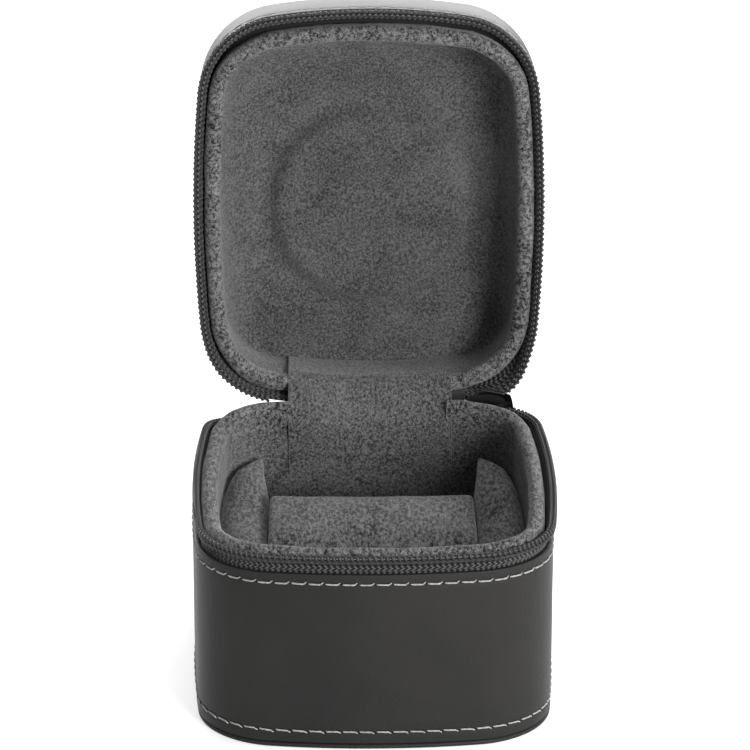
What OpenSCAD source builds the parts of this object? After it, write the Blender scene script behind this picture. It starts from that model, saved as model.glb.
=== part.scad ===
// Watch travel case: a zipped leather box with a suede lining and a lift-out pillow, lid open.
// Frame: origin at the middle of the underside, X to the right, Y to the hinge, Z up, in mm.
// Pieces of the lid are drawn shut and then swung open about the hinge line.

/* [Outline] */
// Width across the leather sides
case_w = 90; // [84:1:110]
// Depth over the leather, front to hinge
case_d = 104; // [98:1:120]
// Radius of the upright corners
corner_r = 21.5; // [19:0.5:24]
// Half angle of the bowed front and rear, in degrees
bow_front = 8.5; // [6.5:0.5:10]
// Half angle of the bowed sides, in degrees
bow_side = 5.2; // [4:0.2:7]

/* [Heights] */
// Height of the leather on the base
base_h = 46.2; // [42:0.2:60]
// Height of the zip band on each half
band_h = 5.3; // [5:0.1:7]
// Height of the leather on the lid
lid_h = 23.2; // [20:0.2:34]
// Height of the pillow's top above the ground
pillow_top = 40.5; // [34:0.5:41]

/* [Leather] */
// Thickness of the leather
leather_t = 1.2; // [0.8:0.1:1.6]
// Radius of the edge round the bottom panel
foot_r = 1.4; // [1:0.1:1.6]
// Radius of the edge round the top of the lid
crown_r = 7; // [5:0.5:9]
// Height of the seam between the walls and the bottom panel
foot_seam = 1.7; // [1.7:0.1:2.4]
// How far the bottom panel's edge lies in from the walls
foot_in = 0.35; // [0.2:0.05:0.6]
// Width of the leather turned in over the lid's top, past the round edge
crown_turn = 2.6; // [2:0.2:5]
// Swell of the padded panel above the lid's leather
panel_rise = 0.5; // [0.2:0.1:1.5]

/* [Stiffeners and lining] */
// Thickness of the moulded shells
shell_t = 2.4; // [2:0.1:3]
// Thickness of the padded suede lining
lining_t = 2.6; // [2:0.1:3.4]
// Inside radius where the lid's front and sides meet its ceiling
ceiling_r = 9.5; // [6:0.5:11]
// Inside radius where the lid's rear meets its ceiling
rear_r = 1.2; // [0.8:0.1:3]
// Width of the padded rim rolls
lip_w = 4.1; // [3.6:0.1:4.6]
// Height of the padded rim rolls
lip_h = 5.85; // [5:0.05:7]
// Depth of the rim rolls in from the leather's face
lip_in = 2.2; // [2.1:0.1:3]
// Radius of the raised disc in the lid's ceiling
disc_r = 25; // [18:0.5:28]
// Height of the raised disc
disc_h = 2; // [1:0.2:3]
// How far the disc's middle lies towards the hinge
disc_y = 3; // [-4:0.5:6]
// Thickness of the pad on the floor
floor_pad_t = 1.8; // [1:0.1:3]

/* [Pillow] */
// Width of the pillow
pillow_w = 53.9; // [46:0.1:60]
// Depth of the pillow
pillow_d = 46; // [38:1:56]
// Radius of the pillow's top edges
pillow_r = 11; // [7:0.5:13]
// Thickness of the pillow's suede cover
cover_t = 1.4; // [1:0.1:2]
// Radius of the side pads' top edges
pad_r = 2.4; // [1.5:0.1:4]

/* [Zip] */
// Thickness of the zip tape
tape_t = 0.5; // [0.4:0.05:0.6]
// Depth of the tape's coil side in from the leather's face
tape_in = 0.45; // [0.3:0.05:0.6]
// Spacing of the coil's turns
coil_pitch = 1.42; // [1.4:0.02:1.8]
// Radius of the coil's strand
coil_r = 0.41; // [0.35:0.01:0.42]
// Length of each turn across the tape
coil_len = 2.8; // [2.2:0.1:3]
// How far each turn reaches past the middle of the zip
coil_reach = 0.2; // [0.1:0.02:0.2]
// Corner angle where the slider is parked, in degrees
slider_at = 62; // [30:1:63]
// Length of the slider along the zip
slider_len = 8.6; // [7:0.2:8.8]
// Half height of the slider's outer plate
slider_half = 3.6; // [3.3:0.1:4]
// Thickness of the slider's outer plate
slider_t = 0.9; // [0.7:0.1:1.2]

/* [Puller] */
// Radius of the wire ring, to the middle of its wire
ring_r = 1.6; // [1.5:0.1:2]
// Radius of the ring's wire
wire_r = 0.4; // [0.3:0.05:0.45]
// Radius of the slider's bail bar
bail_r = 0.5; // [0.4:0.05:0.55]
// Length of the bail bar between its posts
bail_w = 5.8; // [5:0.1:6.4]
// Wall round the pull tab's eye
eye_wall = 0.9; // [0.7:0.1:1.2]
// Length of the pull tab
tab_len = 24; // [16:1:30]
// Width of the pull tab at its round end
tab_w = 7; // [5:0.5:9]
// Thickness of the pull tab
tab_t = 1; // [0.8:0.1:1.2]

/* [Hinge] */
// How far the lid stands open, in degrees
open_deg = 96; // [80:1:110]
// Depth of the hinge line in from the leather's rear face
hinge_in = 1; // [0.5:0.1:2]
// Drop of the hinge line below the zip's middle
hinge_drop = 0.7; // [0:0.1:1.5]
// Thickness of the leather spine
spine_t = 0.8; // [0.6:0.05:0.85]
// Width of the leather spine
spine_w = 42; // [34:0.5:44]
// Width of the suede hinge strip inside
strip_w = 42.7; // [34:0.1:46]
// Thickness of the suede hinge strip
strip_t = 0.8; // [0.5:0.1:1.2]

/* [Stitches] */
// Spacing of the stitches
stitch_pitch = 4; // [3:0.1:5]
// Length of one stitch
stitch_len = 3.3; // [2:0.1:3.4]
// Radius of the thread
thread_r = 0.27; // [0.2:0.01:0.35]
// Distance of the zip stitches from the leather's edge
zip_stitch = 2.5; // [1.5:0.1:4]
// Height of the lower stitches above the ground
foot_stitch = 4.6; // [3.5:0.1:8]

/* [Clearances] */
// Clearance round the soft pieces
soft_gap = 0.3; // [0.2:0.05:0.5]
// Clearance between sewn or glued pieces
glue_gap = 0.1; // [0.08:0.01:0.12]
// Running clearance of the slider and the puller
run_gap = 0.2; // [0.1:0.05:0.25]

/* [Hidden] */
$fn = 180;

rim_z = base_h + band_h;
top_z = rim_z + band_h + lid_h;
hinge_y = case_d / 2 - hinge_in;
hinge_z = rim_z - hinge_drop;

// The outline is eight arcs that meet tangent: bowed sides and four round corners.
half_w = case_w / 2;
half_d = case_d / 2;
det = sin(bow_front) * sin(bow_side) - (1 - cos(bow_front)) * (1 - cos(bow_side));
front_r = corner_r + ((half_w - corner_r) * sin(bow_side)
                      - (1 - cos(bow_side)) * (half_d - corner_r)) / det;
side_r = corner_r + ((half_d - corner_r) * sin(bow_front)
                     - (1 - cos(bow_front)) * (half_w - corner_r)) / det;
corner_x = (front_r - corner_r) * sin(bow_front);
corner_y = (side_r - corner_r) * sin(bow_side);

// Depths in from the leather's outer face
shell_in = leather_t;
floor_r = leather_t;
lining_in = shell_in + shell_t;
room_in = lining_in + lining_t;
sleeve_t = max(spine_t, tape_t) + 4 * glue_gap;
sleeve_h = 6;
coil_in = tape_in - glue_gap - coil_r;
tape_edge = coil_reach * 1.5;
stop_len = coil_len * 0.6;

// Each arc is [centre x, centre y, radius, start angle, end angle, number of facets].
function facets(from, to, size) = max(1, ceil((to - from) / size));
function corner(sx, sy, from, to) =
    [sx * corner_x, sy * corner_y, corner_r, from, to, facets(from, to, 8.7)];
function side(sx, from, to) = [sx * (half_w - side_r), 0, side_r, from, to, facets(from, to, 2.8)];
function end(sy, from, to) = [0, sy * (half_d - front_r), front_r, from, to, facets(from, to, 2.9)];
function all_but_rear(last) = [
    corner(-1, 1, 180 - last, 180 - bow_side), side(-1, 180 - bow_side, 180 + bow_side),
    corner(-1, -1, 180 + bow_side, 270 - bow_front), end(-1, 270 - bow_front, 270 + bow_front),
    corner(1, -1, 270 + bow_front, 360 - bow_side), side(1, 360 - bow_side, 360 + bow_side),
    corner(1, 1, bow_side, last)];
ring = concat([end(1, 90 - bow_front, 90 + bow_front)], all_but_rear(90 - bow_front));

// Arcs from an angle left of the rear's middle round the front to the same angle on its right
function open_ring(deg) = concat([end(1, 90 + deg, 90 + bow_front)], all_but_rear(90 - bow_front),
                                 [end(1, 90 - bow_front, 90 - deg)]);
function rear_deg(half_width, depth) = asin(half_width / (front_r - depth));
roll_arcs = open_ring(rear_deg(strip_w / 2 + soft_gap, room_in));
zip_deg = rear_deg(spine_w / 2 + soft_gap, 0);

function on_arc(arc, t, depth) = [arc[0] + (arc[2] - depth) * cos(t), arc[1] + (arc[2] - depth) * sin(t)];

// Places along the arcs at a depth, with each joint of two arcs once
function places(arcs, depth, closed) = concat(
    [for (arc = arcs) for (i = [0:arc[5] - 1]) on_arc(arc, arc[3] + i * (arc[4] - arc[3]) / arc[5], depth)],
    closed ? [] : [let (arc = arcs[len(arcs) - 1]) on_arc(arc, arc[4], depth)]);

// Part of a profile: a round stretch about a point at a depth and height
function bend(depth, z, r, from, to, n) =
    [for (i = [0:n]) let (t = from + i * (to - from) / n) [depth - r * cos(t), z + r * sin(t)]];

function looped(n) = [for (i = [0:n - 1]) [i, (i + 1) % n]];
function turned(faces) = [for (f = faces) [for (i = [len(f) - 1:-1:0]) f[i]]];

// Carries a profile of [depth, height] points along arcs. The points run up the outer side.
module sweep(profile, arcs, closed = true) {
    rows = [for (p = profile) [for (xy = places(arcs, p[0], closed)) [xy[0], xy[1], p[1]]]];
    n = len(rows[0]);
    m = len(profile);
    steps = closed ? looped(n) : [for (i = [0:n - 2]) [i, i + 1]];
    sides = [for (k = looped(m)) for (i = steps)
        [k[0] * n + i[0], k[1] * n + i[0], k[1] * n + i[1], k[0] * n + i[1]]];
    caps = closed ? [] : [[for (k = [m - 1:-1:0]) k * n], [for (k = [0:m - 1]) k * n + n - 1]];
    polyhedron([for (row = rows) for (p = row) p], concat(sides, caps), convexity = 8);
}

// Joins rings of points, from the lowest up, and closes the first and the last one flat
module loft(rings) {
    n = len(rings[0]);
    last = len(rings) - 1;
    sides = [for (k = [0:last - 1]) for (i = looped(n))
        each [[k * n + i[0], (k + 1) * n + i[0], (k + 1) * n + i[1]],
              [k * n + i[0], (k + 1) * n + i[1], k * n + i[1]]]];
    ends = [[for (i = [0:n - 1]) i], [for (i = [n - 1:-1:0]) last * n + i]];
    polyhedron([for (r = rings) for (p = r) p], concat(sides, ends), convexity = 8);
}

// A tray or dome: the profile runs up the outer side, from the middle of one face to that of the other.
module cup(profile) {
    loft([for (p = profile) [for (xy = places(ring, p[0], true)) [xy[0], xy[1], p[1]]]]);
}

module band(depth0, depth1, z0, z1) {
    translate([-depth1, z0]) square([depth1 - depth0, z1 - z0]);
}

module quarter(r) {
    intersection() { circle(r); square(r); }
}

module plate(depth, z0, z1) {
    translate([0, 0, z0]) linear_extrude(z1 - z0) polygon(places(ring, depth, true));
}

module wall(depth0, depth1, z0, z1) {
    translate([0, 0, z0]) linear_extrude(z1 - z0) difference() {
        polygon(places(ring, depth0, true));
        polygon(places(ring, depth1, true));
    }
}

module opened() {
    translate([0, hinge_y, hinge_z]) rotate([-open_deg, 0, 0])
        translate([0, -hinge_y, -hinge_z]) children();
}

// Turns a piece of the base over, so that it hangs from the lid's side of the zip
module flipped() {
    translate([0, 0, 2 * rim_z]) mirror([0, 0, 1]) children();
}

// ---- base -------------------------------------------------------------

module base_wrap() {
    color("#3b3a38") sweep([[0, foot_seam + glue_gap], [0, base_h], [leather_t, base_h],
                            [leather_t, foot_seam + glue_gap]], ring);
}

// A shallow leather tray with a round edge, set in a little under the walls
module base_bottom_panel() {
    color("#353432") cup(concat(
        bend(foot_in + foot_r, foot_r, foot_r, -90, 0, 4),
        [[foot_in, foot_seam], [shell_in, foot_seam], [shell_in + floor_r * 0.4, leather_t],
         [shell_in + floor_r, leather_t - glue_gap]]));
}

floor_z = leather_t + shell_t;
roll_z = rim_z - soft_gap / 2 - lip_h;

// A moulded tray, stepped in at its rim to make room for the tape behind the leather
module base_shell() {
    step_z = base_h - sleeve_h - glue_gap;
    color("#2a2a2a") cup(concat(
        bend(shell_in + floor_r, leather_t + floor_r, floor_r, -90, 0, 3),
        [[shell_in, step_z], [shell_in + sleeve_t, step_z], [shell_in + sleeve_t, roll_z],
         [lining_in, roll_z], [lining_in, floor_z]]));
}

module base_lining() {
    color("#5c5c5c") wall(lining_in, room_in, floor_z, roll_z);
}

// A padded roll with a half round crest, along the inside of the zip
module rim_roll() {
    crest_z = rim_z - soft_gap / 2 - lip_w / 2;
    sweep(concat([[lip_in + lip_w, roll_z], [lip_in, roll_z]],
                 bend(lip_in + lip_w / 2, crest_z, lip_w / 2, 0, 180, 8)), roll_arcs, closed = false);
}

module base_rim_roll() { color("#6e6e6e") rim_roll(); }

room_z = floor_z + floor_pad_t;

module base_floor_pad() {
    color("#555555") plate(room_in + soft_gap, floor_z, room_z);
}

// Outline of the right side pad, drawn in by some amount and cut off along the strap space
function pad_ring(inset, z) = let (depth = room_in + soft_gap + inset, x0 = pillow_w / 2 + soft_gap + inset,
        cut = acos((x0 - corner_x) / (corner_r - depth)))
    [for (xy = places([[corner_x, -corner_y, corner_r, 360 - cut, 360 - bow_side, 7],
                       side(1, 360 - bow_side, 360 + bow_side),
                       [corner_x, corner_y, corner_r, bow_side, cut, 7]], depth, false)) [xy[0], xy[1], z]];

module side_pad() {
    loft(concat([pad_ring(0, room_z + glue_gap)], [for (t = [0:22.5:90])
        pad_ring(pad_r * (1 - cos(t)), pillow_top - pad_r * (1 - sin(t)))]));
}

module side_pad_right() { color("#646464") side_pad(); }
module side_pad_left() { color("#646464") mirror([1, 0, 0]) side_pad(); }

// ---- zip --------------------------------------------------------------

// The tape is sewn in behind the leather, steps outwards over its edge and carries the coil.
module zip_tape() {
    behind = leather_t + glue_gap;
    low_z = base_h + glue_gap;
    out_z = base_h + 1.3;
    edge_z = rim_z - coil_reach - tape_edge;
    sweep([[behind, base_h - sleeve_h], [behind, low_z], [tape_in, out_z], [tape_in, edge_z],
           [tape_in + tape_t, edge_z], [tape_in + tape_t, out_z], [behind + tape_t, low_z],
           [behind + tape_t, base_h - sleeve_h]], open_ring(zip_deg), closed = false);
}

// A short round bar with bevelled ends
module bar(len, r) {
    rotate_extrude($fn = 16) polygon([[0, -len / 2], [r * 0.6, -len / 2], [r, r * 0.5 - len / 2],
                                      [r, len / 2 - r * 0.5], [r * 0.6, len / 2], [0, len / 2]]);
}

// Upright turns of coil, spaced evenly along each arc. Phase 0 to 1 shifts them by one turn.
module zip_coil(phase) {
    for (arc = all_but_rear(90 - bow_front)) {
        count = round((arc[2] - coil_in) * (arc[4] - arc[3]) * PI / 180 / coil_pitch);
        for (i = [0:count - 1])
            translate(concat(on_arc(arc, arc[3] + (i + phase) * (arc[4] - arc[3]) / count, coil_in),
                             rim_z + coil_reach - coil_len / 2)) bar(coil_len, coil_r);
    }
}

// A moulded stop on the tape, past the end of the coil, on the right (1) or on the left (-1)
module coil_stop(hand) {
    half = stop_len / 2 / front_r * 180 / PI;
    middle = 90 - hand * (bow_front + zip_deg) / 2;
    translate([0, half_d - front_r, 0]) rotate([0, 0, middle - half])
        rotate_extrude(angle = 2 * half) translate([front_r, 0])
            band(coil_in - coil_r, tape_in - glue_gap, rim_z - coil_len, rim_z - coil_reach - tape_edge);
}

module base_zip_tape() { color("#2b2b2b") zip_tape(); }
module base_zip_coil() { color("#3a3a3a") zip_coil(0.25); }
module base_top_stop() { color("#333333") coil_stop(-1); }
module zip_bottom_stop() { color("#333333") coil_stop(1); }

// ---- stitches ---------------------------------------------------------

// One row along the outline, with each stitch tipped by slant
module stitch_row(depth, z, slant) {
    for (arc = ring) {
        count = round((arc[2] - depth) * (arc[4] - arc[3]) * PI / 180 / stitch_pitch);
        for (i = [0:count - 1]) {
            t = arc[3] + (i + 0.5) * (arc[4] - arc[3]) / count;
            translate(concat(on_arc(arc, t, depth), z)) rotate([0, 0, t]) rotate([90 + slant, 0, 0])
                bar(stitch_len, thread_r);
        }
    }
}

// A straight stitch bridges the round corner, so its ends lie nearest the leather.
corner_sag = pow(stitch_len / 2, 2) / (2 * corner_r);
stitch_out = -thread_r - corner_sag - glue_gap;

module base_rim_stitches() { color("#d8d5cc") stitch_row(stitch_out, base_h - zip_stitch, 5); }
module base_foot_stitches() { color("#d8d5cc") stitch_row(stitch_out, foot_stitch, -5); }

// ---- lid --------------------------------------------------------------

crown_z = top_z - crown_r;

module lid_wrap() {
    low_z = rim_z + band_h;
    edge = crown_r + crown_turn;
    color("#3b3a38") opened() sweep(concat(
        [[0, low_z]], bend(crown_r, crown_z, crown_r, 0, 90, 4), [[edge, top_z], [edge, top_z - leather_t]],
        bend(crown_r, crown_z, crown_r - leather_t, 90, 0, 4), [[leather_t, low_z]]), ring);
}

// The panel swells a little past the leather that it is sewn to.
module lid_top_panel() {
    edge = crown_r + crown_turn + glue_gap;
    color("#3b3a38") opened() cup([
        [edge, top_z - leather_t], [edge, top_z], [edge + 0.8, top_z + panel_rise * 0.7],
        [edge + 2.4, top_z + panel_rise]]);
}

lid_roll_z = rim_z + soft_gap / 2 + lip_h;
ceiling_top = top_z - leather_t - shell_t;
ceiling_z = ceiling_top - lining_t;

module lid_shell() {
    step_z = rim_z + band_h + sleeve_h + glue_gap;
    color("#2a2a2a") opened() cup(concat(
        bend(crown_r, crown_z, crown_r - lining_in, 90, 0, 4),
        [[lining_in, lid_roll_z], [shell_in + sleeve_t, lid_roll_z], [shell_in + sleeve_t, step_z],
         [shell_in, step_z]],
        bend(crown_r, crown_z, crown_r - leather_t, 0, 90, 4)));
}

// Inside radius of the ceiling's edge where the outline faces some way: tight only at the rear
function fillet(facing) = let (rear = pow(max(0, sin(facing)), 3)) rear_r * rear + ceiling_r * (1 - rear);

// One ring of the ceiling's edge, at an angle of its round section
function ceiling_ring(t) = [for (arc = ring) for (i = [0:arc[5] - 1])
    let (facing = arc[3] + i * (arc[4] - arc[3]) / arc[5], r = fillet(facing))
    concat(on_arc(arc, facing, room_in + r * (1 - cos(t))), ceiling_z - r * (1 - sin(t)))];

module lid_lining() {
    function level(p) = [for (xy = places(ring, p[0], true)) [xy[0], xy[1], p[1]]];
    color("#5c5c5c") opened() loft(concat(
        [for (t = [90:-15:0]) ceiling_ring(t)],
        [level([room_in, lid_roll_z]), level([lining_in, lid_roll_z])],
        [for (p = bend(crown_r, crown_z, crown_r - lining_in, 0, 90, 4)) level(p)]));
}

module lid_rim_roll() { color("#6e6e6e") opened() flipped() rim_roll(); }

// A flat disc with a half round edge, glued to the ceiling
module lid_ceiling_disc() {
    color("#606060") opened() translate([0, disc_y, ceiling_z]) mirror([0, 0, 1])
        rotate_extrude($fn = 96) {
            square([disc_r - disc_h, disc_h]);
            translate([disc_r - disc_h, 0]) quarter(disc_h);
        }
}

module lid_zip_tape() { color("#2b2b2b") opened() flipped() zip_tape(); }
module lid_zip_coil() { color("#3a3a3a") opened() flipped() zip_coil(0.75); }
module lid_top_stop() { color("#333333") opened() flipped() coil_stop(-1); }

module lid_rim_stitches() {
    color("#d8d5cc") opened() stitch_row(stitch_out, rim_z + band_h + zip_stitch, 5);
}

module lid_crown_stitches() {
    color("#d8d5cc") opened() stitch_row(crown_r + crown_turn / 2, top_z + thread_r + glue_gap, 0);
}

// ---- hinge ------------------------------------------------------------

// A point of the lid, given as it lies with the lid shut, after the lid has swung open
function swung(p) = let (y = p[1] - hinge_y, z = p[2] - hinge_z, c = cos(open_deg), s = sin(open_deg))
    [p[0], hinge_y + y * c + z * s, hinge_z - y * s + z * c];

function bezier(a, b, c, d, t) =
    pow(1 - t, 3) * a + 3 * t * pow(1 - t, 2) * b + 3 * t * t * (1 - t) * c + pow(t, 3) * d;

// One strand of a bent sheet: up the base, round the fold and along the lid.
// xy is its place in the outline, z0 to z1 its hold on the base, z2 to z3 its hold on the lid.
function strand(xy, z0, z1, z2, z3, pull, steps) = let (
        a = [xy[0], xy[1], z1], b = [xy[0], xy[1], z1 + pull],
        c = swung([xy[0], xy[1], z2 - pull]), d = swung([xy[0], xy[1], z2]))
    concat([[xy[0], xy[1], z0]], [for (i = [0:steps]) bezier(a, b, c, d, i / steps)],
           [swung([xy[0], xy[1], z3])]);

// Joins strands into a closed sheet: outer strands first, then the inner ones
module sheet(outer, inner) {
    rows = len(outer);
    cols = len(outer[0]);
    steps = [0:rows - 2];
    runs = [0:cols - 2];
    function at(side, i, j) = (side * rows + i) * cols + j;
    function face(side) = [for (i = steps) for (j = runs)
        [at(side, i, j), at(side, i, j + 1), at(side, i + 1, j + 1), at(side, i + 1, j)]];
    function strand_edge(i) = [for (j = runs) [at(0, i, j), at(1, i, j), at(1, i, j + 1), at(0, i, j + 1)]];
    function hem(j) = [for (i = steps) [at(0, i, j), at(0, i + 1, j), at(1, i + 1, j), at(1, i, j)]];
    polyhedron([for (strands = [outer, inner]) for (s = strands) for (p = s) p],
               concat(face(0), turned(face(1)), strand_edge(0), turned(strand_edge(rows - 1)),
                      hem(0), turned(hem(cols - 1))));
}

// Part of the rear, centred on its middle and measured at a depth
function rear_arc(width, depth) = let (deg = rear_deg(width / 2, depth)) [end(1, 90 - deg, 90 + deg)];

module hinge_spine() {
    out = leather_t + glue_gap;
    pull = band_h * 0.55;
    function skin(depth, pull) = [for (p = places(rear_arc(spine_w, 0), depth, false))
        strand(p, base_h - sleeve_h, base_h, rim_z + band_h, rim_z + band_h + sleeve_h, pull, 8)];
    color("#333231") sheet(skin(out, pull), skin(out + spine_t, pull + spine_t));
}

// The suede strip is glued inside both rear walls and pulls tight as the lid opens.
module hinge_strip() {
    out = room_in + glue_gap;
    pull = lip_h * 0.68;
    function skin(depth, pull) = [for (p = places(rear_arc(strip_w, room_in), depth, false))
        strand(p, roll_z - 2 * lip_h, roll_z, lid_roll_z, ceiling_z - rear_r - soft_gap, pull, 8)];
    color("#575757") sheet(skin(out, pull), skin(out + strip_t, pull + strip_t));
}

// A short web of tape that ties the two halves of the zip together where it ends
module zip_tail() {
    spots = [end(1, 90 - bow_front + 0.1, 90 - zip_deg - 0.1)];
    inside = tape_in + tape_t + glue_gap;
    hold = band_h / 2;
    function web(depth, pull) = [for (p = places(spots, depth, false))
        strand(p, rim_z - hold, rim_z - tape_t, rim_z + tape_t, rim_z + hold, pull, 5)];
    color("#2b2b2b") sheet(web(inside, tape_t * 2), web(inside + tape_t, tape_t * 2.8));
}

// ---- pillow -----------------------------------------------------------

pillow_z = room_z + glue_gap;
pillow_foot_r = pillow_r * 0.7;

// Side view of the pillow, drawn in Y and Z
module pillow_side(inset) {
    y = pillow_d / 2 - inset;
    top = pillow_r - inset;
    foot = pillow_foot_r - inset;
    function arc(y0, z0, r, from) = [for (t = [from:10:from + 90]) [y0 + r * cos(t), z0 + r * sin(t)]];
    polygon(concat(
        arc(y - top, pillow_top - pillow_r, top, 0), arc(top - y, pillow_top - pillow_r, top, 90),
        arc(foot - y, pillow_z + pillow_foot_r, foot, 180),
        arc(y - foot, pillow_z + pillow_foot_r, foot, 270)));
}

module across(x0, x1) {
    translate([x0, 0, 0]) rotate([90, 0, 90]) linear_extrude(x1 - x0) children();
}

end_x = pillow_w / 2 - cover_t;

module pillow_cover() {
    color("#6a6a6a") across(-end_x, end_x) difference() { pillow_side(0); pillow_side(cover_t); }
}

module pillow_core() { color("#8a8a80") across(-end_x, end_x) pillow_side(cover_t + glue_gap); }

module pillow_end() { across(end_x + glue_gap, pillow_w / 2) pillow_side(cover_t / 3); }
module pillow_end_left() { color("#666666") mirror([1, 0, 0]) pillow_end(); }
module pillow_end_right() { color("#666666") pillow_end(); }

// ---- slider and puller ------------------------------------------------

slider_deg = slider_len / corner_r * 180 / PI;
plate_out = -(coil_in - coil_r - run_gap);
bail_out = plate_out + slider_t + run_gap + wire_r + ring_r;

// Places a piece at the slider: X runs out of the corner and Z up, with the zip's middle at zero
module at_slider() {
    translate([corner_x, corner_y, rim_z]) rotate([0, 0, slider_at]) children();
}

module slider_arc(from, to) {
    rotate([0, 0, from]) rotate_extrude(angle = to - from) translate([corner_r, 0]) children();
}

// The outer plate is broad and round at its front, where the halves part, and narrow behind.
module slider_plate() {
    nose = slider_half * 0.8;
    tail = slider_half * 0.95;
    outside = -plate_out - slider_t;
    intersection() {
        slider_arc(-slider_deg, slider_deg) band(outside, -plate_out, -slider_half, slider_half);
        translate([corner_r - corner_r / 3, 0, 0]) rotate([90, 0, 90]) linear_extrude(corner_r / 2 + slider_t)
            hull() {
                for (up = [-1, 1]) {
                    translate([nose - slider_len / 2, up * (slider_half - nose)]) circle(nose, $fn = 32);
                    translate([slider_len / 2 - tail / 2, up * tail / 2]) circle(tail / 2, $fn = 32);
                }
            }
    }
}

module zip_slider() {
    half = slider_deg / 2;
    inner_in = tape_in + tape_t + run_gap;
    divider_z = coil_reach + run_gap;
    color("#4a4a4c") at_slider() {
        slider_plate();
        slider_arc(-half * 0.8, half * 0.7) {
            for (up = [0, 1]) mirror([0, up])
                band(-plate_out - slider_t / 2, -plate_out + slider_t, slider_half * 0.8, slider_half * 0.95);
            band(inner_in, inner_in + slider_t * 0.8, -slider_half * 0.55, slider_half * 0.55);
        }
        slider_arc(-half * 0.8, -half * 0.3)
            band(-plate_out - slider_t / 2, inner_in + slider_t * 0.4, divider_z, divider_z + slider_t);
        translate([corner_r + bail_out, 0, 0]) rotate([90, 0, 0])
            cylinder(h = bail_w + bail_r, r = bail_r, center = true, $fn = 32);
        for (side = [-1, 1])
            translate([corner_r + plate_out + slider_t / 4, side * bail_w / 2, 0])
                rotate([0, 90, 0]) cylinder(h = bail_out - slider_t / 4 - plate_out, r = bail_r, $fn = 32);
    }
}

ring_drop = ring_r - bail_r - wire_r - glue_gap;
eye_r = wire_r * 1.9;
eye_drop = ring_drop + ring_r + eye_r - wire_r - glue_gap;

module puller_ring() {
    color("#8a8a8c") at_slider() translate([corner_r + bail_out, 0, -ring_drop]) rotate([90, 0, 0])
        rotate_extrude($fn = 64) translate([ring_r, 0]) circle(wire_r, $fn = 24);
}

// Narrow at the eye and broad at its round end
module puller_tab() {
    neck = eye_r + eye_wall;
    function round_end(r, z, from) = [for (t = [from:15:from + 180]) [r * cos(t), z + r * sin(t)]];
    color("#4a4a4c") at_slider() translate([corner_r + bail_out - tab_t / 2, 0, -eye_drop])
        rotate([90, 0, 90]) linear_extrude(tab_t) difference() {
            polygon(concat(round_end(neck, 0, 0), [[-tab_w / 2, -tab_len / 3]],
                           round_end(tab_w / 2, tab_w / 2 - tab_len, 180), [[tab_w / 2, -tab_len / 3]]));
            circle(eye_r, $fn = 48);
        }
}

base_wrap();
base_bottom_panel();
base_shell();
base_lining();
base_rim_roll();
base_floor_pad();
side_pad_left();
side_pad_right();
base_zip_tape();
base_zip_coil();
base_top_stop();
zip_bottom_stop();
base_rim_stitches();
base_foot_stitches();
lid_wrap();
lid_top_panel();
lid_shell();
lid_lining();
lid_rim_roll();
lid_ceiling_disc();
lid_zip_tape();
lid_zip_coil();
lid_top_stop();
lid_rim_stitches();
lid_crown_stitches();
hinge_spine();
hinge_strip();
zip_tail();
pillow_cover();
pillow_core();
pillow_end_left();
pillow_end_right();
zip_slider();
puller_ring();
puller_tab();
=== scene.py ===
import math
import bmesh
import bpy
from mathutils import Matrix, Vector, noise
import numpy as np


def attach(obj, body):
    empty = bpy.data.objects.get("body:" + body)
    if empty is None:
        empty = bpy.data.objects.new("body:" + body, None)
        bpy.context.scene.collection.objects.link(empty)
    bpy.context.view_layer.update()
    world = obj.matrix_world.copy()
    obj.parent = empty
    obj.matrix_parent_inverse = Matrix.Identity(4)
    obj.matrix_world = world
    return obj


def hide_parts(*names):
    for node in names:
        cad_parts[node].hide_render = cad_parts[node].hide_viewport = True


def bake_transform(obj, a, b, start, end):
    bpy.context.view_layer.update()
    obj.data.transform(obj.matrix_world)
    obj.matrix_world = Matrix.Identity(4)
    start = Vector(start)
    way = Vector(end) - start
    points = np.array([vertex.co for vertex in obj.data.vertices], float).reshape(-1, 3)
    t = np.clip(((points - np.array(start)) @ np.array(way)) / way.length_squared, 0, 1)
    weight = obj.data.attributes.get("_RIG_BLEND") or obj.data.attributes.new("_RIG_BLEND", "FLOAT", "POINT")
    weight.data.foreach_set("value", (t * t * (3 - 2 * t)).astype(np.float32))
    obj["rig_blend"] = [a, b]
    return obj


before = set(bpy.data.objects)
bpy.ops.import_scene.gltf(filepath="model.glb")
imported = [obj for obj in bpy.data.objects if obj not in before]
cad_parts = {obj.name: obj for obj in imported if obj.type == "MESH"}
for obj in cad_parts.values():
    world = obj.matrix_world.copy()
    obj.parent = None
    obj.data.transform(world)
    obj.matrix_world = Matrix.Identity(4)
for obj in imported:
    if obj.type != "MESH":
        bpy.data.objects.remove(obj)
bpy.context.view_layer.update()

mm = 0.001
scene = bpy.context.scene


# ---- the case's outline from above: four round corners joined by long shallow bows

caseShape = {"width": 90, "depth": 104, "cornerRadius": 21.5, "frontBow": 8.5, "sideBow": 5.2,
             "rim": 51.5, "leatherTop": 46.2, "band": 5.3, "lidTop": 80, "leather": 1.2}
hinge = {"y": 51, "z": 50.8, "openDegrees": 96}


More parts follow.
